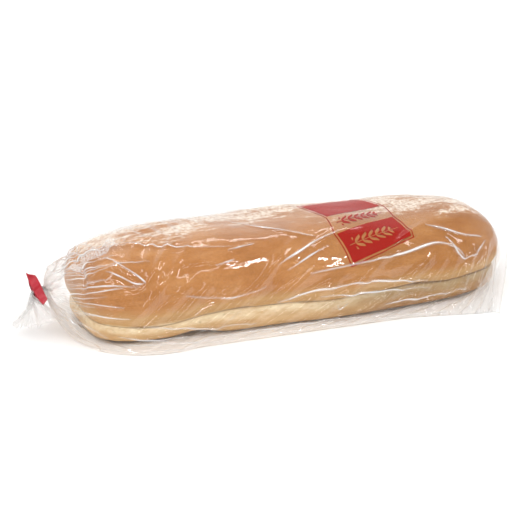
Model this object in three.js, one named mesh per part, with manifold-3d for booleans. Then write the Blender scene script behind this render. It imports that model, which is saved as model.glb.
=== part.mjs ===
// A ciabatta in a clear film bag whose gathered neck is closed with a folded tape.
// Millimetres, +Z up, the loaf's length along X with the bag's neck towards -X.
import * as THREE from "three";
import { ConvexGeometry } from "three/addons/geometries/ConvexGeometry.js";
import { mergeVertices } from "three/addons/utils/BufferGeometryUtils.js";
import Module from "manifold-3d";

const wasm = await Module();
wasm.setup();

// ---- driving dimensions ----
const LOAF_LENGTH = 364;
const LOAF_WIDTH = 128;
const LOAF_HEIGHT = 72;
const FILM_WALL = 0.5; // stands in for film of about 0.03 mm
const CLEARANCE = 0.3; // air between touching pieces

// Loaf: a side profile swept round a blunt-ended plan outline.
const PLAN_STEPS = 84; // points round the plan outline
const NECK_END_SQUARENESS = 4.6; // exponent of the superellipse: 2 is an ellipse, more is squarer
const FAR_END_SQUARENESS = 3.4;
const LOAF_MIDDLE_X = 2;
const CREASE_HEIGHT = 19.5; // where the side folded in as the loaf rose
const CREASE_DROP = 5.5; // the crease runs lower near the neck end
const CREASE_DEPTH = 6.5;

// Bag: a tube of film 200 mm wide when flat, sealed across its far end.
const LIP_Y = 76; // the film's fold lies this far out on the table
const EAR = { x: 152, y: 91 }; // the sealed end's two corners on the table
const SEAM_MIDDLE = { x: 189, z: 30 }; // where the seal crosses the loaf's end
const TABLE_END_X = -187; // the film leaves the table here, on its way up to the neck
const NECK = new THREE.Vector3(-211, 0, 39);
const NECK_DIP = THREE.MathUtils.degToRad(19); // the neck points this far below the horizontal
const NECK_RADIUS = 4.2;
const NECK_HALF_LENGTH = 6;
const MOUTH_REACH = 13; // from the neck's end to the mouth's edge
const MOUTH_RADIUS = 17;
const MOUTH_DROOP = 11; // the mouth's edge hangs this far below the neck's line
const RUFFLES = 7;
const RUFFLE_DEPTH = 0.2; // share of the mouth's radius
const MOUTH_STEPS = 56;

// Tape: a strip folded in half round the neck, its two halves stuck together.
const TAPE_WIDTH = 9;
const TAPE_THICKNESS = 0.8; // two layers
const TAPE_TAIL = 16; // from the neck's centre to the cut ends
const TAPE_FOLD = 12; // from the neck's centre to the folded end
const TAPE_TURN = THREE.MathUtils.degToRad(48); // how far the fold points below the horizontal
const TAPE_BORE = NECK_RADIUS + CLEARANCE + 0.1;

// ---- solids ----

// The one closed solid that a geometry's surface bounds.
function solidOf(geometry) {
  const bare = new THREE.BufferGeometry();
  bare.setAttribute("position", geometry.getAttribute("position"));
  if (geometry.index) bare.setIndex(geometry.index);
  const merged = mergeVertices(bare, 1e-3);
  return new wasm.Manifold(
    new wasm.Mesh({
      numProp: 3,
      vertProperties: merged.attributes.position.array,
      triVerts: new Uint32Array(merged.index.array),
    }),
  );
}

function geometryOf(solid) {
  const { vertProperties, triVerts } = solid.getMesh();
  const geometry = new THREE.BufferGeometry();
  geometry.setAttribute("position", new THREE.BufferAttribute(vertProperties, 3));
  geometry.setIndex(new THREE.BufferAttribute(triVerts, 1));
  return geometry;
}

// The closed surface through rings of equally many points, its two ends closed by fans.
function ringsGeometry(rings) {
  const steps = rings[0].length;
  const points = rings.flat();
  const faces = [];
  for (let r = 0; r + 1 < rings.length; r++) {
    for (let i = 0; i < steps; i++) {
      const a = r * steps + i;
      const b = r * steps + ((i + 1) % steps);
      faces.push(a, b, b + steps, a, b + steps, a + steps);
    }
  }
  for (const [r, flip] of [[0, true], [rings.length - 1, false]]) {
    const middle = points.length;
    const centre = new THREE.Vector3();
    rings[r].forEach((p) => centre.addScaledVector(p, 1 / steps));
    points.push(centre);
    for (let i = 0; i < steps; i++) {
      const a = r * steps + i;
      const b = r * steps + ((i + 1) % steps);
      faces.push(...(flip ? [b, a, middle] : [a, b, middle]));
    }
  }
  const geometry = new THREE.BufferGeometry().setFromPoints(points);
  geometry.setIndex(faces);
  return geometry;
}

// ---- the loaf ----

// Half of the cross-section, from the middle of the base up to the ridge, as [inset from the
// widest point, height]. CREASE_AT is the row at the bottom of the side crease.
const SIDE_PROFILE = [
  [30, 0],
  [13, 0],
  [7, 1.6],
  [4.4, 5.5],
  [3.6, 10],
  [4, 14.5],
  [5, 17.6],
  [5 + CREASE_DEPTH, CREASE_HEIGHT],
  [3.2, 22.2],
  [1.2, 26],
  [0, 32],
  [0.4, 39],
  [2.6, 46.5],
  [7.5, 54.5],
  [15, 61.5],
  [25, 67],
  [36, 70.3],
  [49, 71.8],
];
const CREASE_AT = 7;

const smooth = THREE.MathUtils.smoothstep;

// How far the crease sits below its usual height at x.
function creaseDrop(x) {
  return CREASE_DROP * (1 - smooth(x, -125, -88));
}

// The crust's slow rise and fall, as a share of the height. It grows from the crease upwards.
function undulation(x, y) {
  const along = 0.03 * Math.sin(x / 42 + 2.4) - 0.045 * smooth(x, 90, 180);
  const dimple = -0.035 * Math.exp(-(((x + 40) / 55) ** 2) - ((y - 20) / 40) ** 2);
  return along + dimple + 0.012 * Math.sin(x / 17 + y / 23);
}

// The base is lifted off the table for a short stretch of its front edge.
function baseLift(x, y) {
  return 4 * Math.exp(-(((x + 97) / 17) ** 2)) * smooth(-y, 30, 56);
}

// The plan outline at the loaf's widest, as evenly spaced points.
function planOutline() {
  const fine = Array.from({ length: 361 }, (_, degrees) => {
    const c = Math.cos(THREE.MathUtils.degToRad(degrees));
    const s = Math.sin(THREE.MathUtils.degToRad(degrees));
    const bend = 2 / (c < 0 ? NECK_END_SQUARENESS : FAR_END_SQUARENESS);
    const x = Math.sign(c) * Math.abs(c) ** bend * (LOAF_LENGTH / 2);
    const y = Math.sign(s) * Math.abs(s) ** bend * (LOAF_WIDTH / 2);
    return new THREE.Vector2(x, y);
  });
  return new THREE.Path().setFromPoints(fine).getSpacedPoints(PLAN_STEPS).slice(0, PLAN_STEPS);
}

// The loaf's surface where the profile's [inset, height] meets a point of the plan outline.
function loafPoint(plan, inset, height, nearCrease) {
  const x = plan.x * (1 - inset / (LOAF_LENGTH / 2));
  const wave = 1 + 0.022 * Math.sin(x / 38 + 0.7) + 0.012 * Math.sin(x / 15);
  const y = plan.y * (1 - inset / (LOAF_WIDTH / 2)) * wave;
  let z = height - nearCrease * creaseDrop(x);
  z += height * smooth(height, CREASE_HEIGHT, LOAF_HEIGHT) * undulation(x, y);
  z += baseLift(x, y) * (1 - smooth(height, 0, CREASE_HEIGHT));
  return new THREE.Vector3(x + LOAF_MIDDLE_X, y, z);
}

function loafGeometry() {
  const outline = planOutline();
  const rings = SIDE_PROFILE.map(([inset, height], row) => {
    const nearCrease = Math.max(0, 1 - Math.abs(row - CREASE_AT) / 5);
    return outline.map((plan) => loafPoint(plan, inset, height, nearCrease));
  });
  return ringsGeometry(rings);
}

// ---- the bag ----

const neckAxis = new THREE.Vector3(-Math.cos(NECK_DIP), 0, -Math.sin(NECK_DIP));
const neckUp = new THREE.Vector3(-Math.sin(NECK_DIP), 0, Math.cos(NECK_DIP));
const neckSide = new THREE.Vector3().crossVectors(neckUp, neckAxis); // towards -Y

// A ring square to the neck, `along` past its middle. Its lobes lie between the ruffles.
function neckRing(along, radius, droop = 0, ruffle = 0) {
  const centre = NECK.clone().addScaledVector(neckAxis, along).addScaledVector(neckUp, -droop);
  return Array.from({ length: MOUTH_STEPS }, (_, i) => {
    const angle = (2 * Math.PI * i) / MOUTH_STEPS;
    const r = radius * (1 + ruffle * Math.cos(RUFFLES * angle + 0.6));
    return centre
      .clone()
      .addScaledVector(neckSide, r * Math.cos(angle))
      .addScaledVector(neckUp, r * Math.sin(angle));
  });
}

// The film's outline where it lies on the table and where it is sealed, taken in by `inset`.
function outlinePoints(inset, floor) {
  const half = [
    [TABLE_END_X + inset, 18, floor],
    [-176 + inset, 46, floor],
    [-150, LIP_Y - inset, floor],
    [100, LIP_Y - inset, floor],
    [EAR.x - inset, EAR.y - 2 * inset, floor],
    [EAR.x + 24 - inset, 48, 11],
    [SEAM_MIDDLE.x - inset, 8, SEAM_MIDDLE.z],
  ];
  return half.flatMap(([x, y, z]) => [new THREE.Vector3(x, y, z), new THREE.Vector3(x, -y, z)]);
}

// Taut film: the convex body round the loaf grown by `grow`, the outline and the neck.
function wrapSolid(loaf, grow, inset, floor, neckRadius) {
  const place = loaf.getAttribute("position");
  const normal = loaf.getAttribute("normal");
  const points = outlinePoints(inset, floor).concat(neckRing(-NECK_HALF_LENGTH, neckRadius));
  for (let i = 0; i < place.count; i++) {
    const p = new THREE.Vector3().fromBufferAttribute(place, i);
    p.addScaledVector(new THREE.Vector3().fromBufferAttribute(normal, i), grow);
    p.z = Math.max(p.z, floor);
    points.push(p);
  }
  return solidOf(new ConvexGeometry(points));
}

// The gathered neck and the ruffled mouth beyond the tape, drawn in by `wall`. `shares` says
// where its rings are, from 0 at the neck's end to 1 at the mouth's edge.
function mouthSolid(wall, shares) {
  const rings = [-NECK_HALF_LENGTH - 3, NECK_HALF_LENGTH].map((along) =>
    neckRing(along, NECK_RADIUS - wall),
  );
  for (const share of shares) {
    const radius = NECK_RADIUS + (MOUTH_RADIUS - NECK_RADIUS) * share ** 0.8;
    const along = NECK_HALF_LENGTH + share * MOUTH_REACH;
    rings.push(neckRing(along, radius - wall, MOUTH_DROOP * share ** 2, RUFFLE_DEPTH * share));
  }
  return solidOf(ringsGeometry(rings));
}

function bagGeometry(loaf) {
  const outside = wrapSolid(loaf, CLEARANCE + FILM_WALL, 0, 0, NECK_RADIUS).add(
    mouthSolid(0, [0.25, 0.5, 0.75, 1]),
  );
  const inside = wrapSolid(
    loaf,
    CLEARANCE,
    6 * FILM_WALL,
    FILM_WALL,
    NECK_RADIUS - FILM_WALL,
  ).add(mouthSolid(FILM_WALL, [0.25, 0.5, 0.75, 1, 1.1]));
  return geometryOf(outside.subtract(inside));
}

// ---- the tape ----

function tapeGeometry() {
  const half = TAPE_THICKNESS / 2;
  const round = TAPE_BORE + half;
  const leave = THREE.MathUtils.degToRad(35); // where the strip leaves the round of the neck
  const [cx, cy] = [round * Math.cos(leave), round * Math.sin(leave)];
  const join = round + 3.5;
  const shape = new THREE.Shape();
  shape.moveTo(-TAPE_TAIL, -half);
  shape.lineTo(-join, -half);
  shape.quadraticCurveTo(-join + 2.4, -half, -cx, -cy);
  shape.absarc(0, 0, round, Math.PI + leave, 2 * Math.PI - leave, false);
  shape.quadraticCurveTo(join - 2.4, -half, join, -half);
  shape.lineTo(TAPE_FOLD - half, -half);
  shape.absarc(TAPE_FOLD - half, 0, half, -Math.PI / 2, Math.PI / 2, false);
  shape.lineTo(join, half);
  shape.quadraticCurveTo(join - 2.4, half, cx, cy);
  shape.absarc(0, 0, round, leave, Math.PI - leave, false);
  shape.quadraticCurveTo(-join + 2.4, half, -join, half);
  shape.lineTo(-TAPE_TAIL, half);
  shape.closePath();
  const bore = new THREE.Path();
  bore.absarc(0, 0, TAPE_BORE, 0, 2 * Math.PI, true);
  shape.holes.push(bore);
  const geometry = new THREE.ExtrudeGeometry(shape, {
    depth: TAPE_WIDTH,
    bevelEnabled: false,
    curveSegments: 14,
  });
  return geometry.translate(0, 0, -TAPE_WIDTH / 2);
}

function tapeTurn() {
  const along = new THREE.Vector3()
    .addScaledVector(neckSide, Math.cos(TAPE_TURN))
    .addScaledVector(neckUp, -Math.sin(TAPE_TURN));
  const across = new THREE.Vector3().crossVectors(neckAxis, along);
  return new THREE.Matrix4().makeBasis(along, across, neckAxis);
}

// ---- the assembly ----

const crust = new THREE.MeshStandardMaterial({ color: "#cf9860", roughness: 0.75 });
const film = new THREE.MeshStandardMaterial({
  color: "#e9e6e2",
  roughness: 0.1,
  transparent: true,
  opacity: 0.25,
});
const tapeRed = new THREE.MeshStandardMaterial({ color: "#c6282f", roughness: 0.35 });

function addMesh(group, name, geometry, material) {
  const mesh = new THREE.Mesh(geometry, material);
  mesh.name = name;
  group.add(mesh);
  return mesh;
}

const bagged = new THREE.Group();
const loaf = loafGeometry().translate(0, 0, FILM_WALL + CLEARANCE);
loaf.computeVertexNormals();
addMesh(bagged, "loaf", loaf, crust);
addMesh(bagged, "bag", bagGeometry(loaf), film);
const tape = addMesh(bagged, "neck_tape", tapeGeometry(), tapeRed);
tape.applyMatrix4(tapeTurn());
tape.position.copy(NECK);

// The part's origin is the middle of its footprint box, on the table.
const box = new THREE.Box3().setFromObject(bagged, true);
bagged.position.set(-(box.min.x + box.max.x) / 2, -(box.min.y + box.max.y) / 2, -box.min.z);

const part = new THREE.Group();
part.add(bagged);

export default part;
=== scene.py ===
"""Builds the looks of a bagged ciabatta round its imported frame: the baked loaf, the film bag
with its print, the folded tape on its neck, loose crumbs, and the stage they are seen on."""

import math

import bmesh
import bpy
import numpy as np
from bpy.props import FloatProperty, FloatVectorProperty, IntProperty, PointerProperty
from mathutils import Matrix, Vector, noise
from mathutils.bvhtree import BVHTree


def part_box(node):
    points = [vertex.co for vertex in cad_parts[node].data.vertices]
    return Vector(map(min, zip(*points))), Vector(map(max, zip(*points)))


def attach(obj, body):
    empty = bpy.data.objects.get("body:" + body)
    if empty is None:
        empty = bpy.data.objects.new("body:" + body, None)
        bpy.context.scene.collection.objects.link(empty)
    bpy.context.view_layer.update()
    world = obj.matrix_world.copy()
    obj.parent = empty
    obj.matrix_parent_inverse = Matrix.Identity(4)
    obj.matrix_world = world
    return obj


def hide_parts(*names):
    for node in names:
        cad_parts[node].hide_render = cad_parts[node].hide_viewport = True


bl_info = {
    "name": "Bagged Ciabatta",
    "version": (1, 0, 0),
    "blender": (4, 5, 0),
    "location": "View3D > Sidebar > Bread",
    "description": "A baked loaf in a clear film bag, closed at the neck with folded tape",
    "category": "Object",
}

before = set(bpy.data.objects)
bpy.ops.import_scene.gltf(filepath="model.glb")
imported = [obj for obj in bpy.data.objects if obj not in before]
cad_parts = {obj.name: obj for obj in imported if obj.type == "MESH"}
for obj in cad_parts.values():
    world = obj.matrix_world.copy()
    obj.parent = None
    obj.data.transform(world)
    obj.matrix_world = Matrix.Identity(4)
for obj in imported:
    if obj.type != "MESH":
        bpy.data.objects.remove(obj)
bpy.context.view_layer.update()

LOAF_LOW, LOAF_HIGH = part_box("loaf")
LOAF_MIDDLE = (LOAF_LOW + LOAF_HIGH) / 2
MM = 0.001


# ---------------------------------------------------------------- colours and nodes


def linear(hex_colour):
    """An sRGB hex colour as linear RGBA."""
    channels = [int(hex_colour[i : i + 2], 16) / 255 for i in (1, 3, 5)]
    return tuple(c / 12.92 if c <= 0.04045 else ((c + 0.055) / 1.055) ** 2.4 for c in channels) + (1.0,)


def add_node(tree, kind, *values, stops=(), **settings):
    """Adds a node. Its kind is given without "ShaderNode", and its operation or data type may
    follow a colon. The values fill its open sockets in order. A setting named for an attribute
    sets that, and any other fills the socket of its name. A socket takes a number, a hex colour,
    an output, or a node for its first output. stops are a ramp's: (place, hex colour or grey)."""
    kind, _, mode = kind.partition(":")
    node = tree.nodes.new(kind if "Node" in kind else "ShaderNode" + kind)
    if mode:
        setattr(node, "operation" if hasattr(node, "operation") else "data_type", mode)
    for key, value in settings.items():
        if hasattr(node, key):
            setattr(node, key, value)
    fills = [*zip((socket for socket in node.inputs if socket.enabled), values)]
    fills += [(node.inputs[k.replace("_", " ")], v) for k, v in settings.items() if not hasattr(node, k)]
    for socket, value in fills:
        if isinstance(value, bpy.types.Node):
            value = next(output for output in value.outputs if output.enabled)
        if isinstance(value, bpy.types.NodeSocket):
            tree.links.new(value, socket)
        else:
            socket.default_value = linear(value) if str(value).startswith("#") else value
    if stops:
        marks = node.color_ramp.elements
        while len(marks) < len(stops):
            marks.new(0.5)
        for mark, (place, colour) in zip(marks, stops):
            mark.position = place
            mark.color = linear(colour) if isinstance(colour, str) else (colour, colour, colour, 1)
    return node


# ---------------------------------------------------------------- settings


class LoafSettings(bpy.types.PropertyGroup):
    crease_height: FloatProperty(
        name="Crease Height",
        description="Height of the crease along the loaf's side",
        default=19.5 * MM,
        unit="LENGTH",
    )
    columns: IntProperty(name="Columns", description="Faces round the loaf's plan", default=420)


class BagSettings(bpy.types.PropertyGroup):
    width: FloatProperty(
        name="Flat Width",
        description="Width of the film tube when it lies flat",
        default=0.2,
        unit="LENGTH",
    )
    wall: FloatProperty(
        name="Film Wall", description="Thickness of the film", default=0.08 * MM, unit="LENGTH"
    )
    ink: FloatVectorProperty(
        name="Ink",
        description="Colour of the print on the film",
        subtype="COLOR",
        size=4,
        default=linear("#bb2a1e"),
    )


class CrumbSettings(bpy.types.PropertyGroup):
    size: FloatProperty(
        name="Crumb Size",
        description="Half the width of the largest crumbs",
        default=1.0 * MM,
        unit="LENGTH",
    )
    density: FloatProperty(
        name="Crumb Density",
        description="Crumbs for each square metre where they lie thickest",
        default=9000,
    )
    seed: IntProperty(name="Seed", description="Where the crumbs fall", default=4)


class TapeSettings(bpy.types.PropertyGroup):
    width: FloatProperty(
        name="Tape Width", description="Width of the tape's strip", default=9 * MM, unit="LENGTH"
    )
    colour: FloatVectorProperty(
        name="Tape",
        description="Colour of the tape",
        subtype="COLOR",
        size=4,
        default=linear("#b82333"),
    )


class StageSettings(bpy.types.PropertyGroup):
    distance: FloatProperty(
        name="Camera Distance",
        description="From the camera to the middle of the view",
        default=2.0,
        unit="LENGTH",
    )
    azimuth: FloatProperty(
        name="Azimuth",
        description="The camera's turn round the loaf",
        default=math.radians(-21),
        unit="ROTATION",
    )
    elevation: FloatProperty(
        name="Elevation",
        description="The camera's height above the horizon",
        default=math.radians(20),
        unit="ROTATION",
    )


# ---------------------------------------------------------------- meshes


def mesh_object(name, points, faces, smooth=True):
    """A mesh object from arrays of points and faces, linked into the scene."""
    mesh = bpy.data.meshes.new(name)
    mesh.from_pydata([tuple(p) for p in points], [], [tuple(f) for f in faces])
    mesh.validate()
    mesh.polygons.foreach_set("use_smooth", [smooth] * len(mesh.polygons))
    obj = bpy.data.objects.new(name, mesh)
    bpy.context.scene.collection.objects.link(obj)
    return obj


def grid_faces(rows, columns, wrap=True):
    """Four-sided faces of a grid of rows x columns points; wrap joins the last column to the first."""
    i, j = np.meshgrid(np.arange(rows - 1), np.arange(columns if wrap else columns - 1), indexing="ij")
    k = (j + 1) % columns
    corners = [i * columns + j, i * columns + k, (i + 1) * columns + k, (i + 1) * columns + j]
    return np.stack(corners, -1).reshape(-1, 4)


def weld(obj, distance):
    """Merges points that lie together, and drops faces that this closes up."""
    shape = bmesh.new()
    shape.from_mesh(obj.data)
    bmesh.ops.remove_doubles(shape, verts=shape.verts, dist=distance)
    bmesh.ops.dissolve_degenerate(shape, edges=shape.edges, dist=distance)
    shape.to_mesh(obj.data)
    shape.free()


def face_outwards(obj):
    """Turns every face of a closed shape to point outwards."""
    shape = bmesh.new()
    shape.from_mesh(obj.data)
    bmesh.ops.recalc_face_normals(shape, faces=shape.faces)
    shape.to_mesh(obj.data)
    shape.free()


def set_attribute(obj, name, values):
    """Keeps one number for each point, for materials and Geometry Nodes to read."""
    layer = obj.data.attributes.new(name, "FLOAT", "POINT")
    layer.data.foreach_set("value", np.asarray(values, np.float32))


def finish_piece(obj, node, material):
    """Gives a piece its material and slot, lets it stand for a CAD node, and rides it on the root."""
    obj.data.materials.clear()
    obj.data.materials.append(material)
    if node:
        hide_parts(node)
    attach(obj, "root")


# ---------------------------------------------------------------- the loaf

PLAN_HALF = (0.182, 0.064)  # half the loaf's length and width
END_SQUARENESS = (4.6, 3.4)  # the neck end's and the far end's superellipse exponents

# Half of the cross-section, from the middle of the base up to the ridge, in millimetres, as
# [inset from the widest point, height]. CREASE_AT is the row at the bottom of the crease.
SIDE_PROFILE = [
    (64, 0.0),
    (40, 0.0),
    (20, 0.0),
    (12, 0.3),
    (7, 2.2),
    (4.6, 5.5),
    (3.6, 10),
    (3.4, 13.5),
    (4.3, 16.6),
    (4.7, 18.4),
    (6.0, 19.5),
    (4.5, 20.6),
    (3.4, 22.4),
    (1.2, 26),
    (0, 32),
    (0.4, 39),
    (2.6, 46.5),
    (7.5, 54.5),
    (15, 61.5),
    (25, 67),
    (36, 70.3),
    (49, 71.8),
    (64, 72),
]
CREASE_AT = 10
RIDGE_AT = len(SIDE_PROFILE) - 1


def smooth_step(value, low, high):
    """0 below low, 1 above high, and a smooth slope between."""
    t = np.clip((value - low) / (high - low), 0, 1)
    return t * t * (3 - 2 * t)


def curve_through(points, count_for):
    """Catmull-Rom points through the given ones; count_for(i) says how many from i to i + 1."""
    pts = np.asarray(points, float)
    padded = np.vstack([2 * pts[0] - pts[1], pts, 2 * pts[-1] - pts[-2]])
    out, at = [], []
    for i in range(len(pts) - 1):
        n = count_for(i)
        t = (np.arange(n) / n)[:, None]
        a, b, c, d = padded[i : i + 4]
        out.append(
            0.5
            * (2 * b + (c - a) * t + (2 * a - 5 * b + 4 * c - d) * t**2 + (3 * b - a - 3 * c + d) * t**3)
        )
        at.append(i + t[:, 0])
    out.append(pts[-1:])
    at.append([len(pts) - 1])
    return np.concatenate(out), np.concatenate(at)


def plan_outline(count):
    """The loaf's plan at its widest, as evenly spaced points from the far end round by the back."""
    turn = np.linspace(0, 2 * math.pi, 1441)
    c, s = np.cos(turn), np.sin(turn)
    bend = 2 / np.where(c < 0, *END_SQUARENESS)
    halves = zip((c, s), PLAN_HALF)
    fine = np.stack([np.sign(wave) * abs(wave) ** bend * half for wave, half in halves], 1)
    along = np.concatenate([[0], np.cumsum(np.linalg.norm(np.diff(fine, axis=0), axis=1))])
    wanted = np.arange(count) / count * along[-1]
    return np.stack([np.interp(wanted, along, fine[:, k]) for k in (0, 1)], 1)


def noise_at(points, size, seed, octaves=1):
    """Smooth noise between about -1 and 1, sampled at the points, with features `size` across."""
    shift = Vector((seed * 7.13, seed * 3.71, seed * 5.37))
    scaled = [Vector(p) / size + shift for p in points]
    if octaves == 1:
        return np.array([noise.noise(p) for p in scaled])
    return np.array([noise.fractal(p, 1.0, 2.0, octaves) for p in scaled])


def grid_normals(grid):
    """Outward normals of a closed grid of points, rows x columns x 3."""
    up = np.gradient(grid, axis=0)
    padded = np.concatenate([grid[:, -1:], grid, grid[:, :1]], 1)
    round_it = (padded[:, 2:] - padded[:, :-2]) / 2
    normal = np.cross(round_it, up)
    length = np.linalg.norm(normal, axis=2, keepdims=True)
    return normal / np.maximum(length, 1e-12)


def loaf_grid(columns, crease_height):
    """The loaf's plain surface as rows x columns points, with each row's place in the profile."""
    rows, at = curve_through(SIDE_PROFILE, lambda i: 8 if 5 <= i <= 13 else 5)
    outline = plan_outline(columns)
    inset, height = rows[:, :1] * MM, rows[:, 1:] * MM
    shut = np.exp(-(((at[:, None] - CREASE_AT) / 0.6) ** 2))
    shut = shut * (1 - smooth_step(outline[:, 0], -0.16, -0.05))
    inset = inset - 1.1 * MM * shut
    x = outline[None, :, 0] * (1 - inset / PLAN_HALF[0])
    wave = 1 + 0.022 * np.sin(x / 0.038 + 0.7) + 0.012 * np.sin(x / 0.015)
    y = outline[None, :, 1] * (1 - inset / PLAN_HALF[1]) * wave
    near = np.maximum(0, 1 - abs(at[:, None] - CREASE_AT) / 6)
    drop = 5.5 * MM * (1 - smooth_step(x, -0.125, -0.088))
    drop = drop + 1.2 * MM * np.sin(x / 0.021 + 1) + 0.5 * MM * np.sin(x / 0.0083)
    z = height - near * drop + near * (crease_height - 19.5 * MM)
    swell = 0.03 * np.sin(x / 0.042 + 2.4) - 0.045 * smooth_step(x, 0.09, 0.18)
    swell += -0.035 * np.exp(-(((x + 0.04) / 0.055) ** 2) - ((y - 0.02) / 0.04) ** 2)
    swell += 0.012 * np.sin(x / 0.017 + y / 0.023)
    z = z + height * smooth_step(height, crease_height, 0.072) * swell
    lift = 4 * MM * np.exp(-(((x + 0.097) / 0.017) ** 2)) * smooth_step(-y, 0.03, 0.056)
    z = z + lift * (1 - smooth_step(height, 0, crease_height))
    return np.stack([x, y, z + 0 * x], 2), at


def make_loaf_mesh(settings):
    """The loaf's mesh, with its wrinkles, pores and torn crease, and the attributes that say
    where the crust is pale, floury or dark; the dark along the crease is painted shade."""
    grid, at = loaf_grid(settings.columns, settings.crease_height)
    grid = grid + np.array([LOAF_MIDDLE.x, LOAF_MIDDLE.y, LOAF_LOW.z])
    normals = grid_normals(grid)
    rows, columns = grid.shape[:2]
    flat = grid.reshape(-1, 3)
    level = np.repeat(at, columns)
    above = smooth_step(level, CREASE_AT + 0.4, CREASE_AT + 4)
    lip = smooth_step(level, 4, 6) * (1 - smooth_step(level, CREASE_AT - 0.6, CREASE_AT))
    free = smooth_step(flat[:, 2], LOAF_LOW.z + 0.5 * MM, LOAF_LOW.z + 5 * MM)
    stretched = flat * np.array([0.45, 1.0, 1.0])
    out = 0.9 * MM * noise_at(flat, 0.045, 1)
    out += 0.34 * MM * noise_at(stretched, 0.012, 2, 3) * (0.6 + 0.4 * above)
    out += 0.16 * MM * noise_at(flat, 0.0042, 3, 2)
    out += 0.5 * MM * lip * noise_at(stretched, 0.006, 4, 2)
    crease = np.exp(-(((level - CREASE_AT) / 0.8) ** 2))
    out -= 1.2 * MM * crease * np.clip(noise_at(flat, 0.02, 5) + 0.3, 0, 1)
    flat = flat + normals.reshape(-1, 3) * (out * free)[:, None]
    flat[:, 2] = np.maximum(flat[:, 2], LOAF_LOW.z)
    obj = mesh_object("ciabatta_loaf", flat, grid_faces(rows, columns))
    set_attribute(obj, "level", level)
    set_attribute(obj, "crease", crease)
    weld(obj, 0.02 * MM)
    face_outwards(obj)
    return obj


# ---------------------------------------------------------------- loose crumbs


FOOT_STEPS = 120  # corners round the strip of table that catches crumbs
FOOT_STRIP = (3 * MM, -1.5 * MM)  # its edges, inwards from the loaf's widest outline


def crumb_ground(loaf):
    """What the crumbs lie on: the loaf's crust and a strip of table round its foot, with how
    thickly they lie ("loose") and how big they are ("coarse") at each point."""
    mesh = loaf.data.copy()
    shape = bmesh.new()
    shape.from_mesh(mesh)
    count = len(shape.verts)
    outline = plan_outline(FOOT_STEPS)
    ring = []
    for inward in FOOT_STRIP:
        for x, y in outline:
            away = Vector((x, y)).normalized() * inward
            ring.append(shape.verts.new((LOAF_MIDDLE.x + x - away.x, y - away.y, 0.5 * MM)))
    for i in range(FOOT_STEPS):
        j = (i + 1) % FOOT_STEPS
        shape.faces.new((ring[i], ring[j], ring[FOOT_STEPS + j], ring[FOOT_STEPS + i]))
    bmesh.ops.recalc_face_normals(shape, faces=shape.faces)
    shape.to_mesh(mesh)
    shape.free()
    obj = bpy.data.objects.new("crumb_ground", mesh)
    bpy.context.scene.collection.objects.link(obj)
    points = np.array([v.co for v in mesh.vertices])
    upward = np.array([v.normal.z for v in mesh.vertices])
    on_table = np.arange(len(points)) >= count
    ridge = smooth_step(upward, 0.5, 1.0) * (0.15 + 0.85 * smooth_step(points[:, 1], -0.02, 0.03))
    ridge *= 0.2 + 0.8 * smooth_step(noise_at(points, 0.028, 8, 3), -0.15, 0.25)
    set_attribute(obj, "loose", np.where(on_table, 1.0, 0.7 * ridge))
    set_attribute(obj, "coarse", np.where(on_table, 1.0, 0.45))
    return obj


GRAIN_SHAPES = (0.25, 0.2, 0.12), (1.0, 0.7, 0.35)  # a grain's smallest and largest half sizes


def crumb_tree():
    """Flattened grains scattered over a surface, by its attributes "loose" and "coarse"."""
    tree = bpy.data.node_groups.new("scattered_crumbs", "GeometryNodeTree")
    face = tree.interface
    for name, kind in (
        ("Geometry", "Geometry"),
        ("Crumb Size", "Float"),
        ("Crumb Density", "Float"),
        ("Seed", "Int"),
        ("Material", "Material"),
    ):
        face.new_socket(name, in_out="INPUT", socket_type="NodeSocket" + kind)
    face.new_socket("Geometry", in_out="OUTPUT", socket_type="NodeSocketGeometry")
    given = tree.nodes.new("NodeGroupInput").outputs
    loose, coarse = (
        add_node(tree, "GeometryNodeInputNamedAttribute:FLOAT", Name=name) for name in ("loose", "coarse")
    )
    density = add_node(tree, "Math:MULTIPLY", loose, given["Crumb Density"])
    scatter = add_node(
        tree,
        "GeometryNodeDistributePointsOnFaces",
        Mesh=given["Geometry"],
        Density=density,
        Seed=given["Seed"],
    )
    grain = add_node(tree, "GeometryNodeMeshIcoSphere", Radius=1.0, Subdivisions=2)
    rough = add_node(tree, "FunctionNodeRandomValue:FLOAT_VECTOR", *GRAIN_SHAPES, Seed=given["Seed"])
    size = add_node(tree, "Math:MULTIPLY", coarse, given["Crumb Size"])
    scale = add_node(tree, "VectorMath:SCALE", rough, Scale=size)
    spin = add_node(tree, "FunctionNodeRandomValue:FLOAT", ID=7)
    around = add_node(tree, "CombineXYZ", Z=add_node(tree, "Math:MULTIPLY", spin, 2 * math.pi))
    lying = scatter.outputs["Rotation"]
    turned = add_node(tree, "FunctionNodeRotateRotation", lying, around, rotation_space="LOCAL")
    placed = add_node(
        tree,
        "GeometryNodeInstanceOnPoints",
        Points=scatter,
        Instance=grain,
        Rotation=turned,
        Scale=scale,
    )
    real = add_node(tree, "GeometryNodeRealizeInstances", placed)
    dressed = add_node(tree, "GeometryNodeSetMaterial", real, Material=given["Material"])
    add_node(tree, "NodeGroupOutput", dressed)
    return tree


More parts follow.
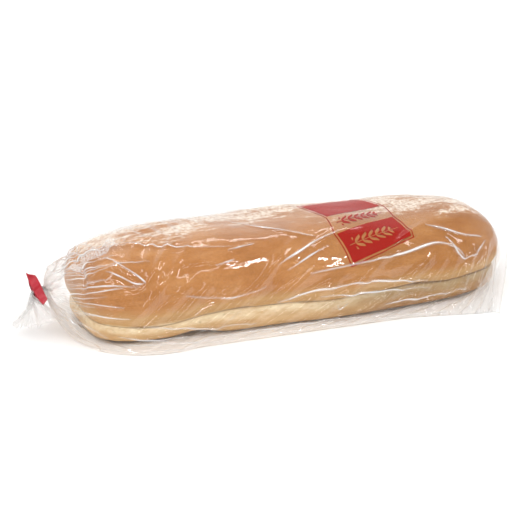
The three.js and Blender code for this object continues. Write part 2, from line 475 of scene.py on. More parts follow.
def make_crumbs(settings, loaf, material):
    """Runs the crumb tree over the crust and the table, and keeps the result as a plain mesh."""
    ground = crumb_ground(loaf)
    modifier = ground.modifiers.new("crumbs", "NODES")
    modifier.node_group = tree = crumb_tree()
    values = {
        "Crumb Size": settings.size,
        "Crumb Density": settings.density,
        "Seed": settings.seed,
        "Material": material,
    }
    for item in tree.interface.items_tree:
        if item.in_out == "INPUT" and item.name in values:
            modifier[item.identifier] = values[item.name]
    evaluated = ground.evaluated_get(bpy.context.evaluated_depsgraph_get())
    mesh = bpy.data.meshes.new_from_object(evaluated)
    ground.modifiers.remove(modifier)
    bpy.data.objects.remove(ground)
    obj = bpy.data.objects.new("loose_crumbs", mesh)
    bpy.context.scene.collection.objects.link(obj)
    return obj


# ---------------------------------------------------------------- the film bag

BAG_LENGTH = 0.472  # from the seal to the mouth's edge, along the film
MOUTH_LENGTH = 0.030  # of that, past the neck's far side
NECK_HOLD = 12 * MM  # the stretch that the tape holds shut
NECK_RADIUS = 4.0 * MM
NECK_DIP = math.radians(19)
NECK = Vector((LOAF_LOW.x - 31 * MM, 0, 39 * MM))
EAR = Vector((LOAF_HIGH.x - 34 * MM, 89 * MM, 0))  # the sealed end's corner, on the table
SEAM_MIDDLE = Vector((LOAF_HIGH.x + 3.5 * MM, 0, 36 * MM))
FILM_GAP = 0.35 * MM  # from the crust to the film's middle
NECK_AT = BAG_LENGTH - MOUTH_LENGTH - NECK_HOLD / 2  # the neck's place along the film
TOP_SHARE = 0.62  # of the tube's width lies over the loaf, and the rest beneath it
PLEATS = 19
UNEVENNESS = 0.12 * MM  # of the film before it settles, which starts its small folds
FLANGE = 6 * MM  # the strip beyond the seal
LIP_FRONT = 75 * MM  # the tube's side folds lie this far out on the table
LIP_BACK = 70 * MM
EAR_SLACK = 25 * MM  # the side folds' spare length, which crumples beside the sealed end's corners
LIP_END = Vector((LOAF_LOW.x + 68 * MM, 80 * MM, 77 * MM))  # where they round in, how wide, how far
CONE_AT = LOAF_LOW.x + 32 * MM  # where the film leaves the loaf for the neck
CONE_BENEATH = 22 * MM  # beneath the loaf, it leaves this much nearer the neck
END_BULGE = 24 * MM  # spare length, midway between the folds, to go round the loaf's far end
END_TAPER = 65 * MM  # the film rounds out from the seal over this length
FOLD_PAST_LOAF = 55 * MM  # the side folds lie on the table this far past the loaf's end
TAIL_REACH = (4 * MM, 24 * MM)  # how far back towards the loaf the tail may swing, high and low
COARSE_FILM = (191, 160)  # rows and columns of the film while it falls into place
COARSE_STEPS, QUICK_STEPS = 60, 12
FINE_FILM = (241, 200)  # and while its small folds settle
FINE_STEPS = 25
STIFF = 0.95  # how much of a stretched edge's error each pass takes out, and of a slanting one's
SHEAR = 0.3
PASSES = 8  # over the film, in each step
DAMPING = 0.9  # the share of its speed that the film keeps from step to step
DRAG = 0.1  # the share of a slide over the crust that sticking takes back
LAYERS = (0.45 * MM, 0.15 * MM)  # the heights on the table of the upper film and the lower
TAIL_LEAN = math.radians(24)  # the film past the neck hangs down, its mouth turned to the front


class LoafField:
    """Distance to the loaf's surface, sampled on a grid of cells."""

    def __init__(self, obj, cell=3.0 * MM, margin=0.03):
        shape = bmesh.new()
        shape.from_mesh(obj.data)
        self.tree = tree = BVHTree.FromBMesh(shape)
        shape.free()
        self.low = np.array(LOAF_LOW) - margin
        self.low[2] = LOAF_LOW.z - 2 * cell
        high = np.array(LOAF_HIGH) + margin
        self.cell = cell
        self.size = np.ceil((high - self.low) / cell).astype(int) + 1
        axes = [self.low[k] + cell * np.arange(self.size[k]) for k in range(3)]
        values = np.empty(self.size)
        for i, x in enumerate(axes[0]):
            for j, y in enumerate(axes[1]):
                for k, z in enumerate(axes[2]):
                    point = Vector((x, y, z))
                    near, normal, _, distance = tree.find_nearest(point)
                    values[i, j, k] = distance if (point - near).dot(normal) > 0 else -distance
        self.values = values
        slopes = np.gradient(values, cell)
        self.table = np.stack([values, *slopes], -1).reshape(-1, 4)

    def at(self, points):
        """Distance and outward direction at each point."""
        place = (points - self.low) / self.cell
        place = np.clip(place, 0, self.size - 1.001)
        base = place.astype(int)
        part = place - base
        total = 0
        for corner in range(8):
            step = np.array([corner & 1, corner >> 1 & 1, corner >> 2 & 1])
            share = np.prod(np.where(step, part, 1 - part), -1)
            cell = base + step
            index = (cell[:, 0] * self.size[1] + cell[:, 1]) * self.size[2] + cell[:, 2]
            total = total + self.table[index] * share[:, None]
        direction = total[:, 1:]
        direction = direction / np.maximum(np.linalg.norm(direction, axis=1, keepdims=True), 1e-9)
        return total[:, 0], direction


def neck_frame():
    """The way out along the neck, and the way up across it."""
    axis = np.array([-math.cos(NECK_DIP), 0, -math.sin(NECK_DIP)])
    up = np.array([-math.sin(NECK_DIP), 0, math.cos(NECK_DIP)])
    return axis, up


def column_turns(columns):
    """The number of the back fold's column, and how far round the tube each column is: the
    front fold is 0 and the back fold 1, over the top, and beneath it runs on to 2."""
    back = round(TOP_SHARE * columns)
    column = np.arange(columns)
    beneath = 1 + (column - back) / (columns - back)
    return back, np.where(column < back, column / back, beneath)


def column_widths(s, columns):
    """The film's width between each column and the next, at each place along the film: even,
    but half of the film lies on either side of the seal."""
    back, _ = column_turns(columns)
    flat = bpy.context.scene.bread_bag.width
    at_seal = np.where(np.arange(columns) < back, flat / back, flat / (columns - back))
    body = smooth_step(s, FLANGE, 0.12)[:, None]
    return at_seal * (1 - body) + 2 * flat / columns * body


def seam_points(columns):
    """The sealed end's line, from corner to corner over the loaf's end, evenly spaced, and the
    way out from the seal there."""
    share = np.linspace(-1, 1, 401)
    bow = np.cos(share * math.pi / 2) ** 1.2
    x = EAR.x + (SEAM_MIDDLE.x - EAR.x) * bow
    curve = np.stack([x, share * EAR.y, SEAM_MIDDLE.z * bow], 1)
    along = np.concatenate([[0], np.cumsum(np.linalg.norm(np.diff(curve, axis=0), axis=1))])
    _, turns = column_turns(columns)
    wanted = np.minimum(turns, 2 - turns) * along[-1]
    points = np.stack([np.interp(wanted, along, curve[:, k]) for k in range(3)], 1)
    out = points - np.array([LOAF_HIGH.x - 0.06, 0, 0.012])
    out[:, 2] *= 0.6
    return points, out / np.linalg.norm(out, axis=1, keepdims=True)


def flange_rows(columns, rows):
    """The strip beyond the seal: its first rows, with the two layers hardly apart."""
    points, out = seam_points(columns)
    back, turns = column_turns(columns)
    lift = np.where(turns < 1, 0.12 * MM, -0.12 * MM)[:, None] * np.array([0.5, 0, 0.87])
    lift[[0, back]] = 0
    count = round(FLANGE / BAG_LENGTH * (rows - 1)) + 1
    strip = []
    for i in range(count):
        beyond = FLANGE * (1 - i / (count - 1))
        strip.append(points + out * beyond + lift * (i > 0))
    strip = np.array(strip)
    strip[:, :, 2] = np.maximum(strip[:, :, 2], 0.3 * MM)
    return strip


def lip_at(x, way):
    """How far out on the table the side fold lies at x, on the front (-1) or the back (1)."""
    lip = LIP_FRONT if way < 0 else LIP_BACK
    lip = lip + (EAR.y - lip) * smooth_step(x, EAR.x - 0.08, EAR.x)
    past = np.clip((LIP_END.x - x) / LIP_END.z, 0, 1)
    end = LIP_END.y * (1 - past**2.6) ** (1 / 2.6)
    return lip + (end - lip) * smooth_step(LIP_END.x - x, -0.02, 0.02)


def gather_share(s):
    """How much of the film's width shows at each place along it: the rest is lost in pleats
    finer than the ones modelled."""
    before_neck = 0.32 + 0.68 * smooth_step(NECK_AT - s, 0.0, 0.12)
    mouth = 0.32 + 0.16 * smooth_step(s - NECK_AT, 0.0, 0.015)
    return np.where(s < NECK_AT, before_neck, mouth)


def pleat_wave(turn, random):
    """An uneven run of pleats round the neck, between -1 and 1."""
    warp = 0.5 * np.sin(2 * turn + 1.1) + 0.35 * np.sin(5 * turn + 0.4)
    coarse = np.sin(PLEATS * (turn + 0.08 * warp))
    fine = 0.35 * np.sin(1.6 * PLEATS * turn + random.uniform(0, 6))
    return (coarse + fine) / 1.35


# Across the tube, from the front fold over the loaf to the back fold: (y, z) in mm.
OVER_LOAF = [(-76, 0.3), (-70, 30), (-62, 60), (-48, 77), (0, 80), (46, 77), (60, 60), (67, 30), (70, 0.3)]


def tube_section(columns):
    """The tube's section round the loaf, evenly spaced over the top and beneath."""
    _, turns = column_turns(columns)
    line = np.array(OVER_LOAF) * MM
    along = np.concatenate([[0], np.cumsum(np.linalg.norm(np.diff(line, axis=0), axis=1))])
    over = np.stack([np.interp(turns * along[-1], along, line[:, k]) for k in (0, 1)], 1)
    beneath = line[-1] + (line[0] - line[-1]) * (turns - 1)[:, None]
    return np.where((turns < 1)[:, None], over, beneath)


def cone_places(columns):
    """The place along the film where each column leaves the loaf for the neck."""
    points, _ = seam_points(columns)
    _, turns = column_turns(columns)
    bow = np.sin(math.pi * np.minimum(turns, 2 - turns))
    leave = np.where(turns < 1, CONE_AT, CONE_AT - CONE_BENEATH * bow)
    return FLANGE + points[:, 0] + END_BULGE * bow - leave, leave, bow


def first_drape(rows, columns, random):
    """The tube before it settles: round the loaf, drawn in to the neck in pleats and flattened
    to the sealed seam. Column 0 is the front fold, and the columns run over the top to the
    back fold, then under the loaf."""
    _, turns = column_turns(columns)
    turn = turns * math.pi
    across, rise = np.cos(turn), np.sin(turn)
    axis, up = neck_frame()
    side = np.array([0, -1.0, 0])
    seam = flange_rows(columns, rows)[-1]
    pleats = pleat_wave(turn, random)
    outward = across[:, None] * side + rise[:, None] * up
    section = tube_section(columns)
    leaves, leave_x, bow = cone_places(columns)
    neck_end = NECK_AT - NECK_HOLD / 2
    grid = np.empty((rows, columns, 3))
    centre = np.array(NECK) + NECK_HOLD / 2 * axis
    tail_down = np.array([0.3, -math.sin(TAIL_LEAN), -math.cos(TAIL_LEAN)])
    for i, s in enumerate(np.linspace(0, BAG_LENGTH, rows)):
        full = smooth_step(s, FLANGE, FLANGE + END_TAPER)
        x = np.maximum(seam[:, 0] + END_BULGE * bow * full - (s - FLANGE), leave_x)
        wide = np.where(section[:, 0] < 0, lip_at(x, -1) / LIP_FRONT, lip_at(x, 1) / LIP_BACK)
        tube = np.stack([x, section[:, 0] * wide, section[:, 1]], 1)
        ring = seam * (1 - full) + tube * full
        past = s - NECK_AT
        cone = np.clip((s - leaves) / (neck_end - leaves), 0, 1)[:, None]
        tight = np.array(NECK) + max(past, -NECK_HOLD / 2) * axis + NECK_RADIUS * 0.6 * outward
        if past < NECK_HOLD / 2:
            depth = 5 * MM * cone * (1 - 0.65 * cone)
            ring = ring * (1 - cone) + tight * cone + depth * pleats[:, None] * outward
        else:
            share = (past - NECK_HOLD / 2) / MOUTH_LENGTH
            radius = NECK_RADIUS * 0.6 + 14 * MM * share**0.32 + 3 * MM * share * pleats
            turned = smooth_step(share, -0.05, 0.12)
            down = axis * (1 - turned) + tail_down * turned
            lift = np.array([-1.0, 0, 0])
            front = np.cross(lift, tail_down)
            centre = centre + 0.8 * BAG_LENGTH / (rows - 1) * down / np.linalg.norm(down)
            ring = centre + radius[:, None] * (across[:, None] * front + rise[:, None] * lift)
        grid[i] = ring
    flange = flange_rows(columns, rows)
    grid[: len(flange)] = flange
    grid += random.normal(0, UNEVENNESS, grid.shape)
    grid[:, :, 2] = np.maximum(grid[:, :, 2], 0.2 * MM)
    return grid


def pull_pairs(grid, a, b, rest, stiffness):
    """Moves the points of each pair towards their rest distance."""
    first, second = grid[a], grid[b]
    gap = second - first
    distance = np.sqrt(np.einsum("...k,...k->...", gap, gap))[..., None] + 1e-9
    move = gap * (0.5 * stiffness * (distance - rest) / distance)
    grid[a] = first + move
    grid[b] = second - move


def stretch(grid, along, width, bend):
    """Draws each point of the film towards its right distance from its neighbours, along, across
    and aslant, and more weakly from the points beyond those, which keeps the film from creasing."""
    rows, columns = grid.shape[:2]
    everything = slice(None)
    slant = np.sqrt(along**2 + width**2)
    for start in (0, 1):
        n = (rows - start) // 2 * 2
        a, b = slice(start, start + n - 1, 2), slice(start + 1, start + n, 2)
        pull_pairs(grid, (a, everything), (b, everything), along, STIFF)
        for first, second in ((a, b), (b, a)):
            rest = slant[a]
            pull_pairs(grid, (first, slice(0, -1)), (second, slice(1, None)), rest[:, :-1], SHEAR)
            pull_pairs(grid, (first, -1), (second, 0), rest[:, -1], SHEAR)
    evens = (everything, slice(0, None, 2)), (everything, slice(1, None, 2))
    pull_pairs(grid, *evens, width[:, ::2], STIFF)
    odd = np.arange(1, columns, 2)
    pull_pairs(grid, (everything, odd), (everything, (odd + 1) % columns), width[:, odd], STIFF)
    for parity in (0, 1):
        first = np.flatnonzero(np.arange(rows - 2) // 2 % 2 == parity)
        pull_pairs(grid, (first, everything), (first + 2, everything), 2 * along, bend)
        near = np.flatnonzero(np.arange(columns) // 2 % 2 == parity)
        far = (near + 2) % columns
        pull_pairs(grid, (everything, near), (everything, far), 2 * width[:, near], bend * 0.5)


def lay_sides(grid, lying, s):
    """Presses the tube's two side folds down on the table, along their lines."""
    for column, way in lying:
        fold = lying[column, way]
        out = way * lip_at(grid[fold, column, 0], way)
        grid[fold, column, 1] += 0.4 * (out - grid[fold, column, 1])
        grid[fold, column, 2] *= 0.6
        beyond = np.maximum(s[fold] - FLANGE, 0)
        furthest = EAR.x - beyond + np.minimum(0.3 * beyond, EAR_SLACK)
        grid[fold, column, 0] = np.minimum(grid[fold, column, 0], furthest)


def settle(grid, field, steps, bend, gravity, puff):
    """Lets the film fall, stretch and slide over the loaf and the table until it lies still."""
    rows, columns = grid.shape[:2]
    s = np.linspace(0, BAG_LENGTH, rows)
    along = BAG_LENGTH / (rows - 1)
    width = (column_widths(s, columns) * gather_share(s)[:, None])[..., None]
    held = abs(s - NECK_AT) <= NECK_HOLD / 2 + 1e-6
    axis, _ = neck_frame()
    back, turns = column_turns(columns)
    floor = np.where((turns > 0) & (turns < 1), *LAYERS)[None, :]
    flange = flange_rows(columns, rows)
    leaves, _, _ = cone_places(columns)
    lying = {(column, way): s < leaves[column] + FOLD_PAST_LOAF for column, way in ((0, -1), (back, 1))}
    air = puff * smooth_step(s, NECK_AT - 0.16, NECK_AT - 0.06)[:, None, None]
    tail = s > NECK_AT + NECK_HOLD / 2
    before = grid.copy()
    for _ in range(steps):
        speed = (grid - before) * DAMPING
        before = grid.copy()
        grid = grid + speed
        grid[:, :, 2] -= gravity
        grid += air * grid_normals(grid)
        for _ in range(PASSES):
            stretch(grid, along, width, bend)
            lay_sides(grid, lying, s)
            hold_neck(grid, held, s - NECK_AT, axis)
            below = np.clip(1 - grid[tail, :, 2] / NECK.z, 0, 1)
            reach = NECK.x + TAIL_REACH[0] + TAIL_REACH[1] * below**1.3
            grid[tail, :, 0] = np.minimum(grid[tail, :, 0], reach)
            touch(grid, before, field, floor)
            grid[: len(flange)] = flange
    return grid


def hold_neck(grid, held, past, axis):
    """Keeps the neck's points inside the tape, at their place along it."""
    centre = np.array(NECK)
    offset = grid[held] - centre
    place = offset @ axis
    radial = offset - place[..., None] * axis
    length = np.linalg.norm(radial, axis=-1, keepdims=True) + 1e-9
    radial *= np.minimum(1, NECK_RADIUS / length)
    wanted = past[held][:, None]
    grid[held] = centre + (place * 0.3 + wanted * 0.7)[..., None] * axis + radial


def touch(grid, before, field, floor):
    """Pushes the film out of the loaf and off the table, and drags on it where it touches."""
    flat = grid.reshape(-1, 3)
    distance, direction = field.at(flat)
    deep = distance < FILM_GAP
    push = (FILM_GAP - distance[deep])[:, None] * direction[deep]
    flat[deep] += push
    old = before.reshape(-1, 3)[deep]
    slide = flat[deep] - old
    slide -= (slide * direction[deep]).sum(1, keepdims=True) * direction[deep]
    flat[deep] -= slide * DRAG
    grid[:, :, 2] = np.maximum(grid[:, :, 2], floor)


def clear_of(grid, tree):
    """Moves the points that the coarse field left too near the crust out to the film's gap."""
    for point in grid.reshape(-1, 3):
        near, normal, _, _ = tree.find_nearest(Vector(point), 4 * FILM_GAP)
        if near is not None:
            height = (Vector(point) - near).dot(normal)
            if height < FILM_GAP:
                point += np.array(normal) * (FILM_GAP - height)


def finer(grid, rows, columns):
    """The same sheet with more points, by linear steps between the old ones."""
    old_rows, old_columns = grid.shape[:2]
    r = np.linspace(0, old_rows - 1, rows)
    c = np.arange(columns) / columns * old_columns
    i = np.minimum(r.astype(int), old_rows - 2)
    j = c.astype(int)
    u, v = (r - i)[:, None, None], (c - j)[None, :, None]
    k = (j + 1) % old_columns
    low = grid[i][:, j] * (1 - v) + grid[i][:, k] * v
    high = grid[i + 1][:, j] * (1 - v) + grid[i + 1][:, k] * v
    return low * (1 - u) + high * u


# Folds that handling has pressed into the film. Each is a line on the flat film in mm, as
# (across from the front fold, along from the seal), then its height and half its width.
FOLDS = [
    ([(50, 196), (53, 160), (57, 120), (62, 88), (56, 68), (48, 56)], 1.7, 3.4),
    ([(30, 222), (34, 200), (37, 165), (37, 130), (31, 88)], 1.8, 3.4),
    ([(30, 186), (28, 153), (28, 123), (25, 84)], 1.2, 2.8),
    ([(60, 224), (68, 206), (78, 186), (86, 166)], 2.0, 3.4),
    ([(55, 214), (63, 198), (72, 178)], 1.2, 2.6),
    ([(98, 366), (80, 353), (64, 337), (60, 333)], 1.4, 2.6),
    ([(60, 333), (60, 342), (67, 353), (76, 365)], 1.4, 2.6),
    ([(118, 360), (106, 341), (92, 305), (82, 258)], 1.0, 2.8),
    ([(128, 248), (106, 231), (92, 208), (82, 188)], 1.1, 2.8),
    ([(79, 263), (82, 240)], 1.2, 2.6),
    ([(67, 275), (70, 258)], 1.0, 2.4),
    ([(66, 76), (48, 60), (49, 46), (62, 36)], 1.8, 3.2),
    ([(82, 92), (66, 62), (64, 40)], 1.4, 3.0),
    ([(21, 169), (16, 164), (20, 157)], 1.0, 2.4),
    ([(16, 125), (17, 88), (22, 44)], 1.3, 2.8),
    ([(46, 300), (40, 262), (44, 232)], 0.8, 2.6),
    ([(24, 330), (17, 280), (14, 236)], 0.9, 2.6),
    ([(3, 352), (2.5, 250), (3, 150), (3, 60)], 0.9, 2.0),
    ([(9, 345), (7, 270), (8, 190), (6, 110)], 0.9, 2.2),
    ([(15, 350), (12, 320), (12, 282)], 0.9, 2.4),
]
FAN = 42  # folds that spread from the neck over the loaf's end


def fan_folds(random):
    """Folds from the neck outwards, unevenly spaced, as long as the film there is loose."""
    folds = []
    for place in np.linspace(8, 240, FAN) + random.uniform(-3, 3, FAN):
        reach = random.uniform(34, 92)
        bend = random.uniform(-7, 7)
        start = (place, (NECK_AT - NECK_HOLD) / MM - 4)
        middle = (place + bend * 0.3, start[1] - reach * 0.5)
        end = (place + bend, start[1] - reach)
        height = 0.5 + 1.4 * random.uniform(0, 1) ** 2
        folds.append(([start, middle, end], height, random.uniform(1.6, 3.2)))
    return folds


def press_folds(grid, random):
    """Raises the folds out of the settled film, each a narrow ridge that fades at its ends."""
    rows, columns = grid.shape[:2]
    flat = flat_places(rows, columns)[:, :-1]
    lift = np.zeros((rows, columns))
    for line, height, width in FOLDS + fan_folds(random):
        path = curve_through(line, lambda _: 14)[0] * MM
        low, high = path.min(0) - width * MM, path.max(0) + width * MM
        near = np.all((flat > low) & (flat < high), axis=-1)
        gap = np.linalg.norm(flat[near][:, None] - path, axis=-1)
        closest = gap.argmin(1)
        away = gap.min(1) / (width * MM)
        fade = np.sin(math.pi * np.clip(closest / (len(path) - 1), 0.02, 0.98)) ** 0.5
        lift[near] += height * MM * fade * np.clip(1 - away, 0, 1) ** 1.2
    return grid + lift[..., None] * grid_normals(grid)


FOLD_STEPS = 9  # points across each pinched fold
DRAPE_SEED, FOLD_SEED = 11, 5


def place_on(grid, normals, flat, places):
    """Points of the draped film, and its normals, at places on the flat film."""
    rows, columns = grid.shape[:2]
    points, ups = [], []
    for across, along in places:
        row = min(max(along / BAG_LENGTH * (rows - 1), 0), rows - 1.001)
        i = int(row)
        column = np.interp(across, flat[i, :, 0], np.arange(columns + 1))
        j = min(int(column), columns - 1)
        u, v = row - i, column - j
        k = (j + 1) % columns
        rows_near, columns_near = ((i, 1 - u), (i + 1, u)), ((j, 1 - v), (k, v))
        shares = [(a, b, p * q) for a, p in rows_near for b, q in columns_near]
        points.append(sum(grid[a, b] * share for a, b, share in shares))
        ups.append(sum(normals[a, b] * share for a, b, share in shares))
    ups = np.array(ups)
    return np.array(points), ups / np.linalg.norm(ups, axis=1, keepdims=True)


def make_folds(grid, random):
    """The pinched crests of the folds: thin ridges of film standing on the draped film."""
    flat = flat_places(*grid.shape[:2])
    normals = grid_normals(grid)
    offsets = np.linspace(-1, 1, FOLD_STEPS)
    crest = np.exp(-((offsets / 0.42) ** 2)) - math.exp(-((1 / 0.42) ** 2))
    points, faces, crest_whitening_and_highlight = [], [], []
    for line, height, width in FOLDS + fan_folds(random):
        path = curve_through(line, lambda _: 16)[0] * MM
        run = np.gradient(path, axis=0)
        aside = np.stack([run[:, 1], -run[:, 0]], 1)
        aside /= np.linalg.norm(aside, axis=1, keepdims=True)
        fade = np.sin(math.pi * np.linspace(0.02, 0.98, len(path))) ** 0.6
        fade *= 1 + 0.35 * np.sin(np.linspace(0, random.uniform(5, 14), len(path)) + random.uniform(0, 6))
        half = 0.45 * width * MM * (0.6 + 0.4 * fade)
        places = path[:, None] + aside[:, None] * (offsets[:, None] * half[:, None, None])
        base, ups = place_on(grid, normals, flat, places.reshape(-1, 2))
        lift = 0.15 * MM + 0.55 * height * MM * fade[:, None] * crest
        start = sum(len(p) for p in points)
        points.append(base + ups * lift.reshape(-1, 1))
        faces.append(grid_faces(len(path), FOLD_STEPS, wrap=False) + start)
        # How pinched each crest point is; the film's material whitens the crest by this, partly as creased
        # film does and partly as painted highlight.
        crest_whitening_and_highlight.append((min(height / 1.4, 1) * fade[:, None] * crest).reshape(-1))
    obj = mesh_object("film_folds", np.concatenate(points), np.concatenate(faces))
    set_attribute(obj, "crease", np.concatenate(crest_whitening_and_highlight))
    return obj


def drape_film(field, random):
    """The film's points once it has settled, as rows x columns x 3."""
    grid = first_drape(*COARSE_FILM, random)
    steps = COARSE_STEPS
    grid = settle(grid, field, steps, bend=0.04, gravity=0.015 * MM, puff=0.012 * MM)
    grid = finer(grid, *FINE_FILM)
    grid = settle(grid, field, FINE_STEPS, bend=0.06, gravity=0.005 * MM, puff=0.004 * MM)
    return grid


def flat_places(rows, columns):
    """Each point's place on the flat tube, in metres: across from the front fold, and along.
    The last column repeats the first, once round."""
    s = np.linspace(0, BAG_LENGTH, rows)
    across = np.concatenate([np.zeros((rows, 1)), np.cumsum(column_widths(s, columns), 1)], 1)
    return np.stack([across, np.broadcast_to(s[:, None], across.shape)], -1)


def set_flat_layout(obj, rows, columns):
    """The film's UVs, and how tightly it is gathered."""
    flat = flat_places(rows, columns)
    corners = np.stack([flat[:-1, :-1], flat[:-1, 1:], flat[1:, 1:], flat[1:, :-1]], 2)
    layer = obj.data.uv_layers.new(name="flat_film")
    layer.data.foreach_set("uv", corners.reshape(-1).astype(np.float32))
    s = np.linspace(0, BAG_LENGTH, rows)
    set_attribute(obj, "gather", np.repeat(1 - gather_share(s), columns))


def make_bag(settings, loaf):
    """The film, draped and with its folds pressed in, and the folds' crests. Both sorts of fold
    are drawn from the same seed, so that the crests stand on the ridges."""
    field = LoafField(loaf)
    grid = drape_film(field, np.random.default_rng(DRAPE_SEED))
    grid = press_folds(grid, np.random.default_rng(FOLD_SEED))
    clear_of(grid, field.tree)
    folds = make_folds(grid, np.random.default_rng(FOLD_SEED))
    rows, columns = grid.shape[:2]
    obj = mesh_object("film_bag", grid.reshape(-1, 3), grid_faces(rows, columns))
    set_flat_layout(obj, rows, columns)
    weld(obj, 0.01 * MM)
    face_outwards(obj)
    wall = obj.modifiers.new("wall", "SOLIDIFY")
    wall.thickness = settings.wall
    wall.offset = 0
    return obj, folds


# ---------------------------------------------------------------- the neck tape

TAPE_WALL = 0.35 * MM
TAPE_TIP = (7.5 * MM, 15.5 * MM)  # the free ends narrow between these heights over the neck
# Half the tape's section, round the neck from the free end's tip to the fold, in mm, as
# (towards the back, up) from the neck's middle.
TAPE_FRONT = [(1.0, 15.5), (0.3, 12), (-0.5, 8.5), (-2.2, 5.4), (-4.6, 3.2), (-5.4, 0.4), (-7.4, -2.0)]
TAPE_REAR = [(1.6, 15.4), (0.9, 12), (0.6, 8.6), (3.4, 5.2)]
TAPE_REAR += [(5.2, 1.6), (4.4, -2.6), (0.6, -5.2), (-4.2, -4.6)]
TAPE_END = [(-8.6, -3.3), (-12.5, -4.6), (-16.5, -5.0), (-18.8, -5.4)]
TAPE_FOLD = (-19.2, -5.8)


def make_tape(settings):
    """One strip of tape round the neck, its free ends cut on the slant and stuck together above,
    and its fold below, towards the front."""
    axis, up = neck_frame()
    back = np.array([0, 1.0, 0])
    way_back = [(y - 0.2, z - 0.7) for y, z in TAPE_END[::-1]]
    line = TAPE_FRONT + TAPE_END + [TAPE_FOLD] + way_back + TAPE_REAR[::-1]
    path = curve_through(line, lambda _: 8)[0] * MM
    run = np.gradient(path, axis=0)
    aside = np.stack([run[:, 1], -run[:, 0]], 1)
    aside /= np.linalg.norm(aside, axis=1, keepdims=True)
    walls = np.concatenate([path + aside * TAPE_WALL / 2, (path - aside * TAPE_WALL / 2)[::-1]])
    half = settings.width / 2
    tip = smooth_step(walls[:, 1], *TAPE_TIP)
    near = -half + tip * (settings.width - 1.2 * MM)
    shares = np.linspace(0, 1, 7)
    twist = math.radians(26) + math.radians(22) * np.clip(np.hypot(*walls.T) / (14 * MM) - 0.35, 0, 1)
    across = np.cos(twist)[:, None] * axis - np.sin(twist)[:, None] * back
    middle = np.array(NECK) + walls[:, :1] * back + walls[:, 1:] * up
    rings = [middle + (near + (half - near) * share)[:, None] * across for share in shares]
    count = len(walls)
    grid = np.array(rings)
    faces = [tuple(f) for f in grid_faces(len(rings), count)]
    for ring in (0, len(rings) - 1):
        for i in range(count // 2 - 1):
            faces.append(tuple(ring * count + k for k in (i, i + 1, count - 2 - i, count - 1 - i)))
    obj = mesh_object("folded_tape", grid.reshape(-1, 3), faces)
    face_outwards(obj)
    return obj


# ---------------------------------------------------------------- materials

# The print lies turned on the film. Its rectangles are in metres, along (to the mouth's right)
# and up the print's own axes, from corner to corner.
PRINT_TURN = math.radians(19)
PANEL_FRONT = ((-0.133, 0.103), (-0.077, 0.133))
PANEL_BACK = ((-0.133, 0.158), (-0.077, 0.190))
KEYLINE = ((-0.1355, 0.1005), (-0.0745, 0.1925))  # the thin frame round both panels
KEYLINE_WIDTH = 0.8 * MM
PUCKER_SHIFT = 8 * MM  # a small fold across the film moves the print beyond it this far aside
PUCKER_FROM = 134 * MM  # where it starts, up the print's own axis
PUCKER_OVER = 22 * MM
FLOURY_MIDDLE = (0.1095, 0.3735, 0)  # the band of film that flour sticks to
FLOURY_HALF = (0.0095, 0.030, 1)
FLOURY_TURN = math.radians(24)
EARS = (0.118, 0.1455)  # the middles of the two ears of wheat, one clear and one of ink
EAR_HALF_WIDTH = 6.5 * MM
GRAIN_STEP = 6.5 * MM


def new_material(name):
    """An empty node material and its tree."""
    material = bpy.data.materials.new(name)
    material.use_nodes = True
    tree = material.node_tree
    tree.nodes.clear()
    return material, tree


